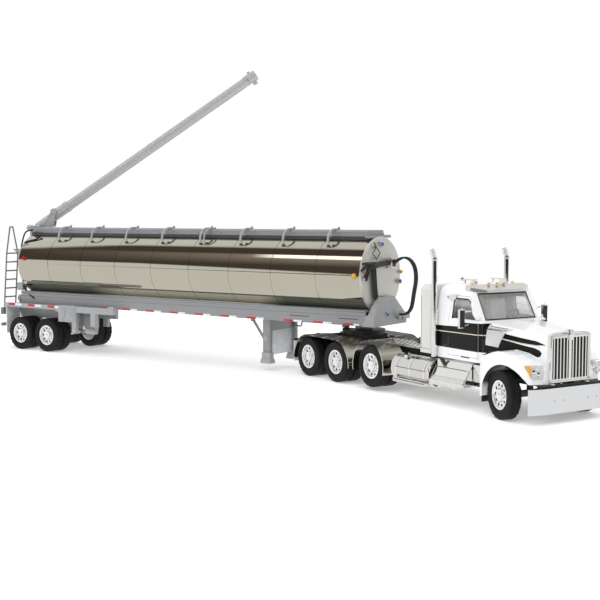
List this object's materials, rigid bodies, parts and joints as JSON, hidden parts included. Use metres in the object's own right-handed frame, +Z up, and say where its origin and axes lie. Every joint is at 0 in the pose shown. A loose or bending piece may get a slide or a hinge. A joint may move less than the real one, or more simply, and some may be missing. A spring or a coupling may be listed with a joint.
{
  "type": "model tank truck",
  "caption": "Scale-model day-cab tractor coupled to a polished tank semi-trailer with a swinging discharge boom; wheels roll, the coupling turns and the hood tilts.",
  "frame": {"origin": "on the ground plane, below the centre of the bounding box in the stored stance", "axes": "+Z up; +X along the trailer towards its nose; +Y to the trailer's left"},
  "size_m": [0.3254, 0.1354, 0.142],
  "materials": {
    "polished_tank": "mirror polished",
    "trailer_grey": "satin paint",
    "boom_silver": "satin silver paint",
    "dark_metal": "satin paint",
    "chassis_black": "satin paint",
    "white_paint": "gloss paint",
    "chrome": "polished",
    "tyre": "matte",
    "glass": "clear",
    "lens": "clear lens",
    "amber": "amber lens",
    "interior_grey": "matte",
    "black_plastic": "satin",
    "hose_rubber": "satin",
    "flap": "satin",
    "engine_grey": "satin paint"
  },
  "bodies": {
    "trailer": {"tank_barrel": "polished_tank", "tank_heads": "trailer_grey", "trunk_coaming": "trailer_grey", "trunk_lid": "trailer_grey", "hatch_hoops": "trailer_grey", "trailer_frame": "trailer_grey", "front_box": "trailer_grey", "kingpin": "dark_metal", "landing_legs": "trailer_grey", "rear_bogie": "trailer_grey", "rear_ladder": "dark_metal", "rear_bumper": "dark_metal", "trailer_mud_flaps": "flap", "discharge_tower": "trailer_grey", "marker_lamps": "amber", "head_harness": "black_plastic", "hydraulic_hoses": "hose_rubber"},
    "landing_feet": {"landing_feet": "trailer_grey"},
    "boom_turntable": {"boom_turret": "boom_silver"},
    "boom": {"boom_saddle": "boom_silver", "boom_tube": "boom_silver", "boom_end": "boom_silver"},
    "trailer_axle_front": {"trailer_wheelset_front": "chrome", "trailer_tyres_front": "tyre"},
    "trailer_axle_rear": {"trailer_wheelset_rear": "chrome", "trailer_tyres_rear": "tyre"},
    "tractor": {"chassis_frame": "chassis_black", "cab_shell": "white_paint", "cab_glass": "glass", "cab_interior": "interior_grey", "steering_wheel": "black_plastic", "sun_visor": "chrome", "roof_lamps": "amber", "air_horns": "chrome", "exhaust_stacks": "chrome", "mirrors": "chrome", "rear_cabinet": "white_paint", "fuel_tanks": "chrome", "step_boxes": "chrome", "front_bumper": "chrome", "wheel_fenders": "chrome", "fifth_wheel": "chassis_black", "engine": "engine_grey", "steer_axle": "dark_metal"},
    "hood": {"hood_shell": "white_paint", "grille": "chrome", "headlamps": "lens"},
    "drive_axle_front": {"drive_wheelset_front": "chrome", "drive_tyres_front": "tyre"},
    "drive_axle_rear": {"drive_wheelset_rear": "chrome", "drive_tyres_rear": "tyre"},
    "pusher_carrier": {"pusher_carrier": "dark_metal"},
    "pusher_axle": {"pusher_wheelset": "chrome", "pusher_tyres": "tyre"},
    "knuckle_right": {"knuckle_right": "dark_metal"},
    "knuckle_left": {"knuckle_left": "dark_metal"},
    "front_wheel_right": {"front_tyre_right": "tyre", "front_rim_right": "chrome"},
    "front_wheel_left": {"front_tyre_left": "tyre", "front_rim_left": "chrome"}
  },
  "joints": [
    {"name": "landing_feet_slide", "type": "slide", "parent": "trailer", "child": "landing_feet", "axis": [0, 0, 1], "range_m": [-0.0033, 0.0038]},
    {"name": "boom_swing", "type": "hinge", "parent": "trailer", "child": "boom_turntable", "pos_m": [-0.15467, -0.0035, 0.06125], "axis": [0, 0, 1], "range_deg": [-157, 83]},
    {"name": "boom_lift", "type": "hinge", "parent": "boom_turntable", "child": "boom", "pos_m": [-0.14661, 0.00258, 0.06925], "axis": [0.6018, -0.7986, 0], "range_deg": [-34, 0]},
    {"name": "trailer_axle_front_roll", "type": "hinge", "parent": "trailer", "child": "trailer_axle_front", "pos_m": [-0.12697, -0.0035, 0.0082], "axis": [0, 1, 0], "continuous": true},
    {"name": "trailer_axle_rear_roll", "type": "hinge", "parent": "trailer", "child": "trailer_axle_rear", "pos_m": [-0.14607, -0.0035, 0.0082], "axis": [0, 1, 0], "continuous": true},
    {"name": "kingpin_turn", "type": "hinge", "parent": "trailer", "child": "tractor", "pos_m": [0.04583, -0.0035, 0.02], "axis": [0, 0, 1], "range_deg": [-47, 93]},
    {"name": "hood_tilt", "type": "hinge", "parent": "tractor", "child": "hood", "pos_m": [0.15316, -0.04906, 0.0116], "axis": [0.3907, 0.9205, 0], "range_deg": [0, 60]},
    {"name": "drive_axle_front_roll", "type": "hinge", "parent": "tractor", "child": "drive_axle_front", "pos_m": [0.05181, -0.00604, 0.0082], "axis": [0.3907, 0.9205, 0], "continuous": true},
    {"name": "drive_axle_rear_roll", "type": "hinge", "parent": "tractor", "child": "drive_axle_rear", "pos_m": [0.03294, 0.00197, 0.0082], "axis": [0.3907, 0.9205, 0], "continuous": true},
    {"name": "pusher_lift", "type": "slide", "parent": "tractor", "child": "pusher_carrier", "axis": [0, 0, 1], "range_m": [-0.0012, 0]},
    {"name": "pusher_axle_roll", "type": "hinge", "parent": "pusher_carrier", "child": "pusher_axle", "pos_m": [0.07436, -0.01562, 0.0094], "axis": [0.3907, 0.9205, 0], "continuous": true},
    {"name": "steer_right", "type": "hinge", "parent": "tractor", "child": "knuckle_right", "pos_m": [0.13752, -0.05546, 0.0082], "axis": [0, 0, 1], "range_deg": [-6, 34]},
    {"name": "steer_left", "type": "hinge", "parent": "tractor", "child": "knuckle_left", "pos_m": [0.14689, -0.03337, 0.0082], "axis": [0, 0, 1], "range_deg": [-6, 34]},
    {"name": "front_wheel_right_roll", "type": "hinge", "parent": "knuckle_right", "child": "front_wheel_right", "pos_m": [0.13752, -0.05546, 0.0082], "axis": [0.6018, 0.7986, 0], "continuous": true},
    {"name": "front_wheel_left_roll", "type": "hinge", "parent": "knuckle_left", "child": "front_wheel_left", "pos_m": [0.14689, -0.03337, 0.0082], "axis": [0.6018, 0.7986, 0], "continuous": true}
  ],
  "couplings": [
    {"joint": "steer_left", "follows": "steer_right", "ratio": 1}
  ]
}
